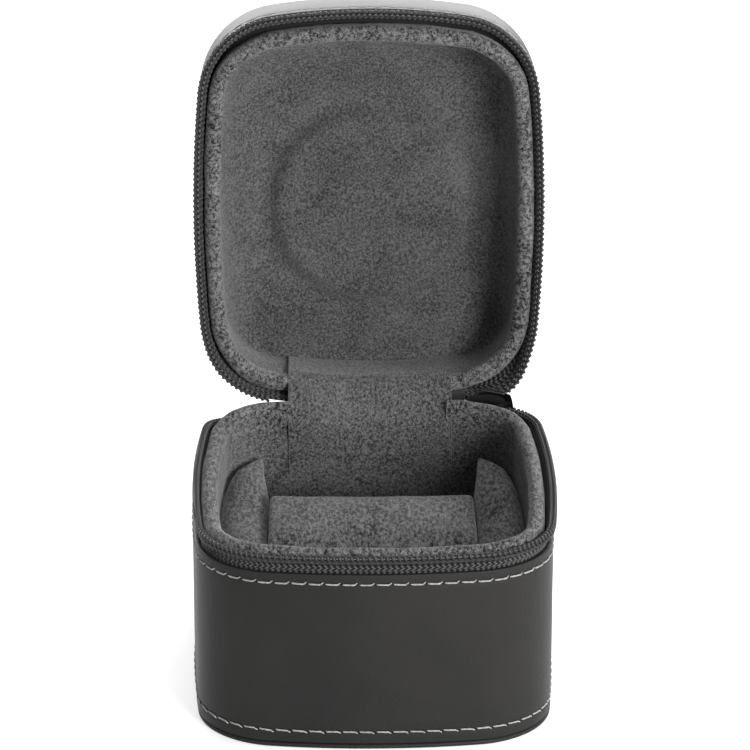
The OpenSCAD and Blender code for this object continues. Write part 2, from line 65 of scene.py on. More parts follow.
def outlineArcs(shape):
    halfW, halfD, r = shape["width"] / 2, shape["depth"] / 2, shape["cornerRadius"]
    f, s = math.radians(shape["frontBow"]), math.radians(shape["sideBow"])
    det = math.sin(f) * math.sin(s) - (1 - math.cos(f)) * (1 - math.cos(s))
    frontR = r + ((halfW - r) * math.sin(s) - (1 - math.cos(s)) * (halfD - r)) / det
    sideR = r + ((halfD - r) * math.sin(f) - (1 - math.cos(f)) * (halfW - r)) / det
    cx, cy = (frontR - r) * math.sin(f), (sideR - r) * math.sin(s)
    f, s = shape["frontBow"], shape["sideBow"]
    # counter-clockwise from the middle of the rear: centre x, centre y, radius, from, to
    return [(0, halfD - frontR, frontR, 90, 90 + f), (-cx, cy, r, 90 + f, 180 - s),
            (sideR - halfW, 0, sideR, 180 - s, 180 + s), (-cx, -cy, r, 180 + s, 270 - f),
            (0, frontR - halfD, frontR, 270 - f, 270 + f), (cx, -cy, r, 270 + f, 360 - s),
            (halfW - sideR, 0, sideR, 360 - s, 360 + s), (cx, cy, r, 360 + s, 450 - f),
            (0, halfD - frontR, frontR, 450 - f, 450)]


fullRing = outlineArcs(caseShape)
arcStart = [0]
for arc in fullRing:
    arcStart.append(arcStart[-1] + math.radians(arc[4] - arc[3]) * arc[2])
girth = arcStart[-1]
cornerX, cornerY = fullRing[7][0], fullRing[7][1]


def onOutline(turn, inset, z):  # turn runs from 90 at the middle of the rear to 450
    arc = next(a for a in fullRing if turn <= a[4] + 1e-6)
    t = math.radians(turn)
    return Vector((arc[0] + (arc[2] - inset) * math.cos(t), arc[1] + (arc[2] - inset) * math.sin(t), z)) * mm


def turnAt(distance):  # the turn that lies so many millimetres round the outline
    k = next(i for i in range(len(fullRing)) if distance <= arcStart[i + 1] + 1e-6)
    return fullRing[k][3] + math.degrees((distance - arcStart[k]) / fullRing[k][2])


def distanceOf(co):  # the reverse, for any point: the nearest arc counts
    x, y = co.x / mm, co.y / mm
    best = (math.inf, 0)
    for k, (cx, cy, r, start, end) in enumerate(fullRing):
        turn = math.degrees(math.atan2(y - cy, x - cx)) % 360
        turn += 360 if turn < 90 - 1e-4 else 0
        if start - 1e-4 <= turn <= end + 1e-4:
            off = abs(r - math.hypot(x - cx, y - cy))
            best = min(best, (off, arcStart[k] + math.radians(turn - start) * r))
    return max(0, best[1])


def distanceIn(co):  # how far a point lies inside the outline
    x, y = abs(co.x / mm), abs(co.y / mm)
    corner, side, end = fullRing[7], fullRing[6], fullRing[0]
    if x > cornerX and y > cornerY and math.hypot(x - corner[0], y - corner[1]) > 0:
        return corner[2] - math.hypot(x - corner[0], y - corner[1])
    return min(side[2] - math.hypot(x - side[0], y), end[2] - math.hypot(x, y - end[1]))


def fromRear(co):  # degrees of turn away from the middle of the rear, and the side
    turn = turnAt(min(distanceOf(co), girth))
    return min(turn - 90, 450 - turn), turn > 270, turn


def outwards(turn):
    return Vector((math.cos(math.radians(turn)), math.sin(math.radians(turn)), 0))


def lerp(a, b, t):
    return a + (b - a) * t


def ease(t):
    t = max(0, min(1, t))
    return t * t * (3 - 2 * t)


def bend(inset, z, r, start, end, steps):  # a round stretch of a profile, as (inset, height)
    angles = [math.radians(lerp(start, end, i / steps)) for i in range(steps + 1)]
    return [(inset - r * math.cos(a), z + r * math.sin(a)) for a in angles]


def subdivided(profile, longest):
    fine = [profile[0]]
    for a, b in zip(profile, profile[1:]):
        n = max(1, math.ceil(math.dist(a, b) / longest))
        fine += [(lerp(a[0], b[0], i / n), lerp(a[1], b[1], i / n)) for i in range(1, n + 1)]
    return fine


# ---- carrying profiles round the outline

def faceOutwards(bm):
    bmesh.ops.recalc_face_normals(bm, faces=bm.faces)


def closeEnds(bm):
    bmesh.ops.holes_fill(bm, edges=[e for e in bm.edges if e.is_boundary], sides=0)
    faceOutwards(bm)


def roundEdges(bm, edges, radius, segments):
    bmesh.ops.bevel(bm, geom=edges, offset=radius, segments=segments, profile=.5, affect="EDGES", material=-1)


def sweep(profile, start=90, end=450, closed=False, cornerStep=3.4, bowStep=.7):
    bm = bmesh.new()
    across = bm.verts.layers.float.new("across")
    line, run = [], profile[0][1]
    for k, (inset, z) in enumerate(profile):
        run += math.dist(profile[k - 1], profile[k]) if k else 0
        v = bm.verts.new(onOutline(start, inset, z))
        v[across] = run
        line.append(v)
    edges = [bm.edges.new(pair) for pair in zip(line, line[1:])]
    if closed:
        edges.append(bm.edges.new((line[-1], line[0])))
    first, geom = edges, line + edges
    for cx, cy, r, a0, a1 in fullRing:
        a0, a1 = max(a0, start), min(a1, end)
        if a1 - a0 > 1e-6:
            steps = math.ceil((a1 - a0) / (cornerStep if r < 100 else bowStep))
            geom = bmesh.ops.spin(bm, geom=geom, cent=(cx * mm, cy * mm, 0), axis=(0, 0, 1),
                                  angle=math.radians(a1 - a0), steps=steps)["geom_last"]
    if closed and end - start < 360:  # an open run gets flat ends
        for loop in (first, [g for g in geom if isinstance(g, bmesh.types.BMEdge)]):
            bmesh.ops.contextual_create(bm, geom=loop)
    bmesh.ops.remove_doubles(bm, verts=bm.verts, dist=1e-6)
    faceOutwards(bm)
    return bm


def unwrapRound(bm):  # metres round the outline, and along the profile
    uv = bm.loops.layers.uv.new("UVMap")
    across = bm.verts.layers.float["across"]
    where = {v: distanceOf(v.co) for v in bm.verts}
    for face in bm.faces:
        far = max(where[v] for v in face.verts)
        for loop in face.loops:
            d = where[loop.vert]
            loop[uv].uv = ((d + (girth if far - d > girth / 2 else 0)) * mm, loop.vert[across] * mm)


def fillInward(bm, centre, shrink):  # closes the highest or lowest loop with rings round a centre
    across = bm.verts.layers.float["across"]
    edges = [e for e in bm.edges if e.is_boundary and all(abs(v.co.z - centre.z) < 1e-5 for v in e.verts)]
    ring = sorted({v for e in edges for v in e.verts},
                  key=lambda v: math.atan2(v.co.y - centre.y, v.co.x - centre.x))
    spokes = [v.co - centre for v in ring]
    for size in shrink:
        inner = []
        for v, spoke in zip(ring, spokes):
            w = bm.verts.new(centre + spoke.normalized() * size(spoke.length))
            w[across] = v[across] + (v.co - w.co).length / mm
            inner.append(w)
        for k in range(len(ring)):
            bm.faces.new((ring[k - 1], ring[k], inner[k], inner[k - 1]))
        ring = inner
    bm.faces.new(ring)


def swingOpen(bm):
    bmesh.ops.rotate(bm, verts=bm.verts, cent=(0, hinge["y"] * mm, hinge["z"] * mm),
                     matrix=Matrix.Rotation(-math.radians(hinge["openDegrees"]), 3, "X"))


def turnOver(bm):  # from the base's side of the zip to the lid's
    for v in bm.verts:
        v.co.z = 2 * caseShape["rim"] * mm - v.co.z
    bmesh.ops.reverse_faces(bm, faces=bm.faces)


def swung(x, y, z):  # a closed lid's point, after the lid has opened
    a = math.radians(hinge["openDegrees"])
    y, z = y - hinge["y"], z - hinge["z"]
    return Vector((x, hinge["y"] + y * math.cos(a) + z * math.sin(a),
                   hinge["z"] - y * math.sin(a) + z * math.cos(a)))


def soften(bm, amount, size, seed=0):  # slow swells, as padding and hide have
    bm.normal_update()
    for v in bm.verts:
        v.co += v.normal * amount * mm * noise.noise(v.co / (size * mm) + Vector((seed, 0, 0)))


def finishPiece(name, bm, material, body, stands=(), sharp=45, lid=False, over=False):
    if over:
        turnOver(bm)
    if lid:
        swingOpen(bm)
    mesh = bpy.data.meshes.new(name)
    bm.to_mesh(mesh)
    bm.free()
    mesh.shade_smooth()
    mesh.set_sharp_from_angle(angle=math.radians(sharp))
    mesh.materials.append(material)
    obj = bpy.data.objects.new(name, mesh)
    scene.collection.objects.link(obj)
    if stands:
        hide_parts(*stands)
    if body:
        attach(obj, body)
    return obj


# ---- finishes

def startMaterial(name, **sockets):
    material = bpy.data.materials.new(name)
    material.use_nodes = True
    tree = material.node_tree
    shader = tree.nodes["Principled BSDF"]
    for socket, value in sockets.items():
        shader.inputs[socket.replace("_", " ")].default_value = value
    return material, tree, shader


def addNode(tree, kind, settings=None, **inputs):
    node = tree.nodes.new("ShaderNode" + kind)
    for key, value in (settings or {}).items():
        setattr(node, key, value)
    for key, value in inputs.items():
        socket = node.inputs[int(key[1:])] if key[0] == "i" and key[1:].isdigit() else node.inputs[key]
        if isinstance(value, bpy.types.NodeSocket):
            tree.links.new(value, socket)
        else:
            socket.default_value = value
    return node


def calc(tree, operation, a, b=0.0, clamp=False):
    return addNode(tree, "Math", {"operation": operation, "use_clamp": clamp}, i0=a, i1=b).outputs[0]


def times(tree, a, b):
    return calc(tree, "MULTIPLY", a, b)


def plus(tree, a, b):
    return calc(tree, "ADD", a, b)


def blendColours(tree, factor, a, b):
    node = addNode(tree, "Mix", {"data_type": "RGBA"})
    for socket, value in zip((node.inputs[0], node.inputs[6], node.inputs[7]), (factor, a, b)):
        if isinstance(value, bpy.types.NodeSocket):
            tree.links.new(value, socket)
        else:
            socket.default_value = value
    return node.outputs[2]


def grey(value, warm=0.0):
    return (value * (1 + warm), value, value * (1 - warm), 1)


def objectPlace(tree, scale=(1, 1, 1)):
    place = addNode(tree, "TexCoord").outputs["Object"]
    return addNode(tree, "Mapping", Vector=place, Scale=scale).outputs[0] if scale != (1, 1, 1) else place


def noiseAt(tree, place, scale, detail=2.0, roughness=.5, distortion=0.0):
    return addNode(tree, "TexNoise", Vector=place, Scale=scale, Detail=detail, Roughness=roughness,
                   Distortion=distortion).outputs["Fac"]


def spread(tree, value, low, high):  # stretches a band of values to 0..1
    return addNode(tree, "MapRange", {"interpolation_type": "SMOOTHSTEP"},
                   i0=value, i1=low, i2=high).outputs[0]


def addBump(tree, shader, height, distance, strength):
    bump = addNode(tree, "Bump", Height=height, Distance=distance, Strength=strength).outputs[0]
    tree.links.new(bump, shader.inputs["Normal"])


suedeLook = {"dark": .022, "light": .235, "clump": 1700, "fibre": 3900, "patch": 60, "nap": .42}
frontLitCeilingLook = dict(suedeLook, dark=.036, light=.2)  # real grain with less contrast: less painted fibre shade than suede that faces up, as the ceiling is front-lit
fibreShadeLook = dict(suedeLook, dark=.009, light=.29, clump=1250, fibre=3200, nap=.38)  # real grain with extra contrast: the deeper darks are painted fibre shade for suede that faces up


def makeSuede(name, tone=1.0, look=suedeLook):
    material, tree, shader = startMaterial(name, Roughness=.95, Sheen_Weight=.35, Sheen_Roughness=.45,
                                           Specular_IOR_Level=.15)
    place = objectPlace(tree, (1, look["nap"], 1))
    clump = noiseAt(tree, place, look["clump"], 3, .65, .4)
    fibre = noiseAt(tree, place, look["fibre"], 2, .6)
    patch = noiseAt(tree, place, look["patch"], 3, .55, .8)
    grain = plus(tree, times(tree, clump, .62), times(tree, fibre, .38))
    patch = times(tree, calc(tree, "SUBTRACT", patch, .5), .7)
    shade = calc(tree, "ADD", spread(tree, grain, .37, .65), patch, clamp=True)
    tree.links.new(blendColours(tree, shade, grey(look["dark"] * tone), grey(look["light"] * tone, .01)),
                   shader.inputs["Base Color"])
    addBump(tree, shader, grain, .0009, .55)
    return material


# the hole colour is painted shade, darkening the needle holes
leatherLook = {"dark": .019, "light": .028, "pore": 1500, "crease": 260, "cloud": 22,
               "hole": (.12, .55), "holeShade": .010, "holeDepth": 2.2, "seamWidth": 1.1, "seamDepth": .35}


def makeLeather(name, rows=(), pitch=4.0, look=leatherLook):
    material, tree, shader = startMaterial(name, Roughness=.5, Specular_IOR_Level=.17)
    place = objectPlace(tree)
    cloud = noiseAt(tree, place, look["cloud"], 4, .55, .3)
    crease = noiseAt(tree, place, look["crease"], 5, .6, .2)
    cells = addNode(tree, "TexVoronoi", {"feature": "SMOOTH_F1"}, Vector=place, Scale=look["pore"])
    pores = spread(tree, cells.outputs[0], .15, .75)
    cloudy = spread(tree, cloud, .3, .7)
    colour = blendColours(tree, cloudy, grey(look["dark"], .02), grey(look["light"], .035))
    skin = plus(tree, times(tree, pores, .22), times(tree, crease, .5))
    if rows:  # the needle's holes at both ends of each stitch
        uv = addNode(tree, "UVMap", {"uv_map": "UVMap"}).outputs[0]
        split = addNode(tree, "SeparateXYZ", Vector=uv)
        turns = calc(tree, "DIVIDE", split.outputs[0], pitch * mm)
        aside = times(tree, calc(tree, "SUBTRACT", calc(tree, "FRACT", turns), .5), pitch)
        pits = None
        for row in rows:
            up = calc(tree, "SUBTRACT", times(tree, split.outputs[1], 1000), row)
            square = plus(tree, calc(tree, "POWER", aside, 2), calc(tree, "POWER", up, 2))
            hole = spread(tree, calc(tree, "SQRT", square), *look["hole"])
            seam = spread(tree, calc(tree, "ABSOLUTE", up), 0, look["seamWidth"])
            seam = plus(tree, times(tree, seam, look["seamDepth"]), 1 - look["seamDepth"])
            pit = calc(tree, "MINIMUM", hole, seam)
            pits = calc(tree, "MINIMUM", pits, pit) if pits else pit
        skin = plus(tree, skin, times(tree, pits, look["holeDepth"]))
        # the needle holes are darkened in colour: painted shade
        colour = blendColours(tree, spread(tree, pits, 0, .6), grey(look["holeShade"]), colour)
    tree.links.new(colour, shader.inputs["Base Color"])
    tree.links.new(plus(tree, times(tree, cloud, .16), .40), shader.inputs["Roughness"])
    addBump(tree, shader, skin, .00012, .8)
    return material


# dark is the tape's own colour; light paints the threads' glints
weaveLook = {"thread": .47, "chevron": 1.42, "rib": .8, "slope": .9, "dark": .003, "light": .2}


def makeWeave(name, look=weaveLook):  # a fine herringbone, in the tape's own millimetres
    material, tree, shader = startMaterial(name, Roughness=.82, Sheen_Weight=.15, Specular_IOR_Level=.25)
    uv = addNode(tree, "UVMap", {"uv_map": "UVMap"}).outputs[0]
    split = addNode(tree, "SeparateXYZ", Vector=uv)
    u = times(tree, split.outputs[0], 1000)
    v = times(tree, split.outputs[1], 1000)
    zigzag = calc(tree, "PINGPONG", v, look["rib"])
    slant = plus(tree, u, times(tree, zigzag, look["slope"]))
    ridge = calc(tree, "SINE", times(tree, slant, 2 * math.pi / look["chevron"]))
    picks = calc(tree, "SINE", times(tree, v, 2 * math.pi / look["thread"]))
    height = plus(tree, times(tree, ridge, .3), times(tree, picks, .2))
    fuzz = noiseAt(tree, objectPlace(tree), 2600, 2, .6)
    height = plus(tree, plus(tree, height, .5), times(tree, fuzz, .3))
    # the ridges are painted light as thread glints over the tape's own dark colour: painted highlight
    colour = blendColours(tree, spread(tree, height, .6, 1.15), grey(look["dark"]), grey(look["light"]))
    tree.links.new(colour, shader.inputs["Base Color"])
    addBump(tree, shader, height, .00022, .9)
    return material


def makeNylon(name, tone=.017):
    material, tree, shader = startMaterial(name, Roughness=.38, Specular_IOR_Level=.5)
    place = objectPlace(tree)
    rub = noiseAt(tree, place, 900, 3, .6)
    tree.links.new(blendColours(tree, rub, grey(tone * .6), grey(tone * 1.5)), shader.inputs["Base Color"])
    tree.links.new(plus(tree, times(tree, rub, .2), .24), shader.inputs["Roughness"])
    addBump(tree, shader, noiseAt(tree, place, 3000, 2), .00004, .5)
    return material


def makeThread(name, low=.34, high=.66):
    material, tree, shader = startMaterial(name, Roughness=.7, Sheen_Weight=.2, Specular_IOR_Level=.3)
    place = objectPlace(tree)
    strands = noiseAt(tree, place, 5200, 2, .6)
    soil = noiseAt(tree, place, 120, 2)
    shade = plus(tree, times(tree, strands, .75), times(tree, soil, .25))
    tree.links.new(blendColours(tree, spread(tree, shade, .3, .7), grey(low, .03), grey(high, .025)),
                   shader.inputs["Base Color"])
    addBump(tree, shader, strands, .00008, .6)
    return material


def makeMetal(name, tone=.09):
    material, tree, shader = startMaterial(name, Metallic=1.0, Roughness=.32)
    fine = noiseAt(tree, objectPlace(tree, (900, 900, 9000)), 1, 3, .7)
    scuff = noiseAt(tree, objectPlace(tree), 700, 3, .6)
    tree.links.new(blendColours(tree, scuff, grey(tone * .8), grey(tone * 1.3)), shader.inputs["Base Color"])
    tree.links.new(plus(tree, times(tree, fine, .25), .22), shader.inputs["Roughness"])
    addBump(tree, shader, fine, .00002, .5)
    return material


def makeBoard(name, tone):  # pressed board, out of sight
    material, tree, shader = startMaterial(name, Roughness=.85)
    grain = noiseAt(tree, objectPlace(tree), 1800, 4, .7)
    tree.links.new(blendColours(tree, grain, grey(tone * .6), grey(tone * 1.4)), shader.inputs["Base Color"])
    addBump(tree, shader, grain, .0001, .5)
    return material


stitching = {"pitch": girth / round(girth / 4.1), "rim": 2.5, "foot": 4.6, "radius": .22, "reach": 2.02,
             "sides": 8, "rings": 13, "twist": 32, "lobe": .22, "taper": .3, "lift": .15, "slope": .07,
             "dive": .55, "hook": .5, "low": .1, "wander": .1, "tilt": .08, "sunk": .1}
rimRow = caseShape["leatherTop"] - stitching["rim"]
lidRow = caseShape["rim"] + caseShape["band"] + stitching["rim"]
liningSuede = makeSuede("liningSuede")
ceilingSuede = makeSuede("ceilingSuede", look=frontLitCeilingLook)
# the rolled lips, side pads and pillow carry the deeper painted fibre shade of suede that faces up
rolledSuede = makeSuede("rolledSuede", look=fibreShadeLook)
pillowSuede = makeSuede("pillowSuede", 1.12, fibreShadeLook)
baseHide = makeLeather("baseHide", (rimRow, stitching["foot"]), stitching["pitch"])
lidHide = makeLeather("lidHide", (lidRow,), stitching["pitch"])
plainHide = makeLeather("plainHide")
tapeWeave = makeWeave("tapeWeave")
coilNylon = makeNylon("coilNylon")
seamThread = makeThread("seamThread")
darkThread = makeThread("darkThread", .012, .03)
tapeThread = makeThread("tapeThread", .05, .16)
sliderMetal = makeMetal("sliderMetal")
pressedBoard = makeBoard("pressedBoard", .008)
print("finishes made")


# ---- leather

leatherPiece = {"edgeRound": .35, "footSeam": 1.5, "footTuck": .3, "seamDip": .14, "seamWidth": .8,
                "crown": 7.0, "crownRun": 2.6, "swell": .12, "swellSize": 14, "belly": .45,
                "panelIn": .05, "panelRound": .6, "panelPuff": .75, "panelRun": 14}


def makeBaseLeather(p=leatherPiece):
    top, t, r, seam = caseShape["leatherTop"], caseShape["leather"], p["edgeRound"], p["footSeam"]
    tuck = p["footTuck"]
    outside = bend(tuck, seam + tuck, tuck, -85, 0, 6) + [(0, top - r)]
    profile = subdivided(outside, 1.6) + bend(r, top - r, r, 15, 90, 4)
    profile += bend(t - r, top - r, r, 90, 180, 4) + [(t, seam), (tuck, seam)]
    bm = sweep(profile, closed=True)
    bm.normal_update()
    for v in bm.verts:  # the wall dips a little along each seam
        depth = sum(math.exp(-((v.co.z / mm - row) / p["seamWidth"]) ** 2)
                    for row in (rimRow, stitching["foot"]))
        out = Vector((v.normal.x, v.normal.y, 0))
        if out.length > .7:
            v.co -= out * p["seamDip"] * mm * depth
    soften(bm, p["swell"], p["swellSize"])
    unwrapRound(bm)
    return finishPiece("baseLeather", bm, baseHide, "base", ["base_wrap"])


def makeBasePanel(p=leatherPiece):
    rise = p["footSeam"] - .2
    edge = bend(p["panelIn"] + rise / 2, rise / 2, rise / 2, 90, -90, 8)
    bm = sweep([(6, rise)] + edge + [(3, 0), (8, 0)])
    closeEnds(bm)
    unwrapRound(bm)
    return finishPiece("basePanel", bm, plainHide, "base", ["base_bottom_panel"])


def makeLidLeather(p=leatherPiece):
    low, t, r = caseShape["rim"] + caseShape["band"], caseShape["leather"], p["edgeRound"]
    top, crown = caseShape["lidTop"], p["crown"]
    outside = bend(r, low + r, r, -90, 0, 4) + bend(crown, top - crown, crown, 0, 90, 14)
    edge = crown + p["crownRun"]
    lip = [(edge - .5, top), (edge, top - .4), (edge, top - t)]
    inside = bend(crown, top - crown, crown - t, 90, 0, 8)
    profile = subdivided(outside + lip, 1.6) + inside + bend(t - r, low + r, r, 180, 270, 3)[:-1]
    bm = sweep(profile, closed=True)
    bm.normal_update()
    for v in bm.verts:
        out = Vector((v.normal.x, v.normal.y, 0))
        if out.length > .7:
            high = (v.co.z / mm - low) / (top - low)
            belly = p["belly"] * math.sin(math.pi * max(0, min(1, high))) ** .8
            dip = p["seamDip"] * math.exp(-((v.co.z / mm - lidRow) / p["seamWidth"]) ** 2)
            v.co += out * mm * (belly - dip)
    soften(bm, p["swell"], p["swellSize"], 5)
    unwrapRound(bm)
    return finishPiece("lidLeather", bm, lidHide, "lid", ["lid_wrap"], lid=True)


def makeLidPanel(p=leatherPiece):  # the padded top of the lid, sewn inside the turned edge
    top, edge, r = caseShape["lidTop"], p["crown"] + p["crownRun"] + .1, p["panelRound"]
    bm = sweep([(edge, top - 1.2)] + bend(edge + r, top - .35, r, 0, 90, 5))
    centre = Vector((0, 0, top + .25)) * mm
    fillInward(bm, centre, [lambda far, f=k / 24: far * (1 - f) + .3 * mm * f for k in range(1, 25)])
    for v in bm.verts:
        if v.co.z > (top + .2) * mm:
            inner = min(1, (distanceIn(v.co) - edge) / p["panelRun"])
            v.co.z += p["panelPuff"] * mm * (1 - (1 - inner) ** 2.2)
    soften(bm, .1, 15, 9)
    faceOutwards(bm)
    unwrapRound(bm)
    return finishPiece("lidPanel", bm, plainHide, "lid", ["lid_top_panel"], lid=True)


makeBaseLeather()
makeBasePanel()
makeLidLeather()
makeLidPanel()
print("leather walls cut and turned")


# ---- stitches

def makeStitchShape(p=stitching):  # two plies twisted round each other, ends dipping into the hide
    bm = bmesh.new()
    ring = bmesh.ops.create_circle(bm, segments=p["sides"], radius=1)["verts"]
    for v in ring:  # two lobes
        a = math.atan2(v.co.y, v.co.x)
        lobe = 1 - p["lobe"] + p["lobe"] * abs(math.cos(a))
        v.co = Vector((0, math.cos(a), math.sin(a))) * lobe * p["radius"] * mm
    geom = list(ring) + [e for e in bm.edges]
    bmesh.ops.translate(bm, verts=ring, vec=(-p["reach"] * mm, 0, 0))
    twist = Matrix.Rotation(math.radians(p["twist"]), 3, "X")
    for k in range(1, p["rings"]):
        edges = [g for g in geom if isinstance(g, bmesh.types.BMEdge)]
        geom = bmesh.ops.extrude_edge_only(bm, edges=edges)["geom"]
        verts = [g for g in geom if isinstance(g, bmesh.types.BMVert)]
        bmesh.ops.translate(bm, verts=verts, vec=(2 * p["reach"] / (p["rings"] - 1) * mm, 0, 0))
        centre = sum((v.co for v in verts), Vector()) / len(verts)
        bmesh.ops.rotate(bm, verts=verts, cent=centre, matrix=twist)
    for v in bm.verts:
        x = v.co.x / mm / p["reach"]
        thin = 1 - p["taper"] * abs(x) ** 4
        v.co.y, v.co.z = v.co.y * thin, v.co.z * thin
        v.co.y += (p["lift"] + p["slope"] * x - p["dive"] * abs(x) ** 6) * mm  # y is out of the hide
        v.co.z += (p["hook"] * ease((x - .5) / .5) - p["low"]) * mm
    closeEnds(bm)
    mesh = bpy.data.meshes.new("stitchShape")
    bm.to_mesh(mesh)
    bm.free()
    return mesh


def makeStitches(name, height, node, body, flip=1, inset=stitching["sunk"], flat=False, p=stitching):
    bm = bmesh.new()
    for k in range(round(girth / p["pitch"])):
        turn = turnAt(k * p["pitch"])
        t = math.radians(turn)
        along, out = Vector((-math.sin(t), math.cos(t), 0)), Vector((math.cos(t), math.sin(t), 0))
        up = Vector((0, 0, 1))
        if flat:
            up, out = -out, up
        wobble = noise.noise(Vector((k * 1.7, height, 3)))
        axes = Matrix((along, out, up * flip)).transposed().to_4x4()
        place = Matrix.Translation(onOutline(turn, inset, height) + up * wobble * p["wander"] * mm) @ axes
        place = place @ Matrix.Rotation(wobble * p["tilt"], 4, "Y")
        before = len(bm.verts)
        bm.from_mesh(stitchShape)
        bm.verts.ensure_lookup_table()
        bmesh.ops.transform(bm, matrix=place, verts=bm.verts[before:])
    faceOutwards(bm)
    return finishPiece(name, bm, seamThread, body, [node], lid=body == "lid")


stitchShape = makeStitchShape()
makeStitches("baseRimStitches", rimRow, "base_rim_stitches", "base")
makeStitches("baseFootStitches", stitching["foot"], "base_foot_stitches", "base", flip=-1)
makeStitches("lidRimStitches", lidRow, "lid_rim_stitches", "lid")
print("stitches sewn")


# ---- zip

# where and over how many degrees of turn from the rear each sag and push sets in or dies away
zipPiece = {"tapeThick": .5, "endHalf": 21.3, "coilPitch": 1.42, "filament": .33,
            "coilOut": .5, "coilTop": 51.7, "coilHeight": 2.8, "coilDepth": .92, "steps": 12, "sleeve": 6,
            "leftSag": 2.4, "rightSag": .7, "sagUntil": (35, 45), "frontSag": .7, "frontFrom": (80, 50),
            "leftPush": .75, "leftUntil": (45, 35), "rightPush": 2.9, "rightAt": (36, 22),
            "basePush": 1.2, "baseAt": (42, 26),
            "base": {"inset": .6, "lean": .2, "shift": .42, "phase": .25},
            "lid": {"inset": .8, "lean": .42, "shift": -.08, "phase": .75}}
zipEnd = math.degrees(math.asin(zipPiece["endHalf"] / fullRing[0][2]))
coilStart = distanceOf(onOutline(90 + caseShape["frontBow"], 0, 0))
coilEnd = distanceOf(onOutline(450 - zipEnd, 0, 0))


def zipInset(z, half, p=zipPiece):  # the zip leans outwards towards its teeth
    return half["inset"] - half["lean"] * max(0, z - p["coilTop"] + p["coilHeight"])


def past(near, span):  # 0 before the start of a span of turn, 1 after it
    return ease((near - span[0]) / span[1])


def hump(near, span):  # 1 at the middle of a span of turn, less on both sides
    return math.exp(-((near - span[0]) / span[1]) ** 2)


def bendZip(co, body, weight=1, p=zipPiece):  # the fold pulls the zip down behind the rolls and pushes it out
    near, right, turn = fromRear(co)
    co = co + Vector((p[body]["shift"] * weight * mm, 0, 0))
    if body == "lid":
        left = p["leftPush"] * (1 - past(near, p["leftUntil"]))
        push = p["rightPush"] * hump(near, p["rightAt"]) if right else left
        return co + outwards(turn) * push * weight * mm
    sag = (p["rightSag"] if right else p["leftSag"]) * (1 - past(near, p["sagUntil"]))
    sag += p["frontSag"] * past(near, p["frontFrom"])
    push = p["basePush"] * hump(near, p["baseAt"]) if right else 0
    return co + (outwards(turn) * push - Vector((0, 0, sag))) * weight * mm


def makeTape(body, p=zipPiece):
    lid, half, t, top = body == "lid", p[body], p["tapeThick"], caseShape["leatherTop"]
    behind, edge, out = caseShape["leather"] + .12, caseShape["rim"] - .2, p["coilOut"] + half["inset"]
    outer = [(behind, top - p["sleeve"]), (behind, top)] + [
        (lerp(behind, out, ease(k / 6)), lerp(top, top + 1.5, k / 6)) for k in range(1, 7)]
    heights = [lerp(top + 1.5, edge, k / 5) for k in range(1, 6)]
    outer += [(p["coilOut"] + zipInset(z, half), z) for z in heights]
    profile = subdivided(outer, .8) + [(a + t, z) for a, z in reversed(outer)]
    bm = sweep(profile, 90 + zipEnd, 450 - zipEnd, closed=True)
    unwrapRound(bm)
    for v in bm.verts:
        v.co = bendZip(v.co, body, ease((v.co.z / mm - top + .5) / 3))
    return finishPiece(body + "Tape", bm, tapeWeave, body, [body + "_zip_tape"],
                       lid=lid, over=lid)


def tubeAlong(points, radius, radii=None, sides=1):
    curve = bpy.data.curves.new("tube", "CURVE")
    curve.dimensions, curve.bevel_depth, curve.bevel_resolution = "3D", radius, sides
    curve.use_fill_caps = True
    spline = curve.splines.new("POLY")
    spline.points.add(len(points) - 1)
    for k, (point, co) in enumerate(zip(spline.points, points)):
        point.co = (*co, 1)
        point.radius = radii[k] if radii else 1
    obj = bpy.data.objects.new("tube", curve)
    scene.collection.objects.link(obj)
    bpy.context.view_layer.update()
    mesh = bpy.data.meshes.new_from_object(obj.evaluated_get(bpy.context.evaluated_depsgraph_get()))
    bpy.data.objects.remove(obj)
    bm = bmesh.new()
    bm.from_mesh(mesh)
    bpy.data.meshes.remove(mesh)
    bmesh.ops.remove_doubles(bm, verts=bm.verts, dist=1e-7)
    faceOutwards(bm)
    return bm


def coilRun(phase, p=zipPiece):  # the number of turns, and where each lies round the outline
    turns = round((coilEnd - coilStart) / p["coilPitch"]) - 1
    each = (coilEnd - coilStart) / (turns + 1)
    return turns, lambda s: coilStart + (s + phase) * each


def makeCoil(body, p=zipPiece):
    lid, half = body == "lid", p[body]
    turns, along = coilRun(half["phase"])
    middle, reach = p["coilTop"] - p["coilHeight"] / 2, p["coilHeight"] / 2 - p["filament"] * 1.35
    points, radii = [], []
    for k in range(turns * p["steps"] + 1):
        s = k / p["steps"]
        a = 2 * math.pi * s
        z = middle + reach * math.copysign(abs(math.cos(a)) ** .8, math.cos(a))
        deep = zipInset(z, half) - (p["coilDepth"] / 2 - p["filament"] * .6) * math.sin(a)
        points.append(bendZip(onOutline(turnAt(along(s - .06 * math.sin(2 * a))), deep, z), body))
        radii.append(1 + .5 * max(0, math.cos(a)) ** 2 + .3 * max(0, -math.cos(a)) ** 2)
    bm = tubeAlong(points, p["filament"] * mm, radii)
    return finishPiece(body + "Coil", bm, coilNylon, body, [body + "_zip_coil"], sharp=80,
                       lid=lid, over=lid)


